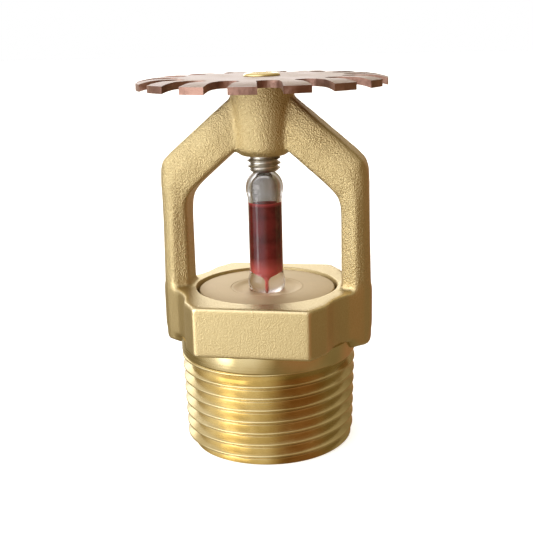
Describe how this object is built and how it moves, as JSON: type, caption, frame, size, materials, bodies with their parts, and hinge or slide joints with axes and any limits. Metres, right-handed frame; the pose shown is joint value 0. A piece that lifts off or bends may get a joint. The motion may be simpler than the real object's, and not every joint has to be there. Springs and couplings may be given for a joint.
{
  "type": "fire sprinkler head",
  "caption": "Upright glass-bulb fire sprinkler head: brass two-arm frame on a taper pipe thread, slotted copper deflector, load screw and spring-sealed cap.",
  "frame": {"origin": "on the head's axis, in the plane of the inlet rim at the bottom of the pipe thread", "axes": "+Z along the axis from the inlet to the deflector; X through the two frame arms; Y square to the two wrench flats"},
  "size_m": [0.0364, 0.0364, 0.0559],
  "materials": {
    "cast_brass": "forged and sandblasted, satin, fine orange-peel grain",
    "machined_brass": "machined, satin",
    "copper_sheet": "rolled copper sheet, matt with a pinkish oxide bloom",
    "screw_steel": "turned, slightly dull",
    "nickel": "rolled spring alloy, smooth",
    "bulb_glass": "clear, polished",
    "bulb_fill": "clear red liquid",
    "ptfe": "waxy white film"
  },
  "bodies": {
    "head": {"frame": "cast_brass", "deflector": "copper_sheet", "sealing_spring": "nickel", "seal_film_upper": "ptfe", "seal_film_lower": "ptfe"},
    "screw": {"load_screw": "screw_steel"},
    "closure": {"closure_cap": "machined_brass", "bulb_seat": "machined_brass", "bulb_glass": "bulb_glass", "bulb_fluid": "bulb_fill"}
  },
  "joints": [
    {"name": "screw_turn", "type": "hinge", "parent": "head", "child": "screw", "pos_m": [0, 0, 0.0454], "axis": [0, 0, 1], "range_deg": [-90, 0]},
    {"name": "closure_travel", "type": "slide", "parent": "head", "child": "closure", "axis": [0, 0, 1], "range_m": [-0.0002, 0], "deforming": ["sealing_spring", "seal_film_upper", "seal_film_lower"]}
  ],
  "couplings": [
    {"joint": "screw_turn", "follows": "closure_travel", "rad_per_m": 7850}
  ]
}
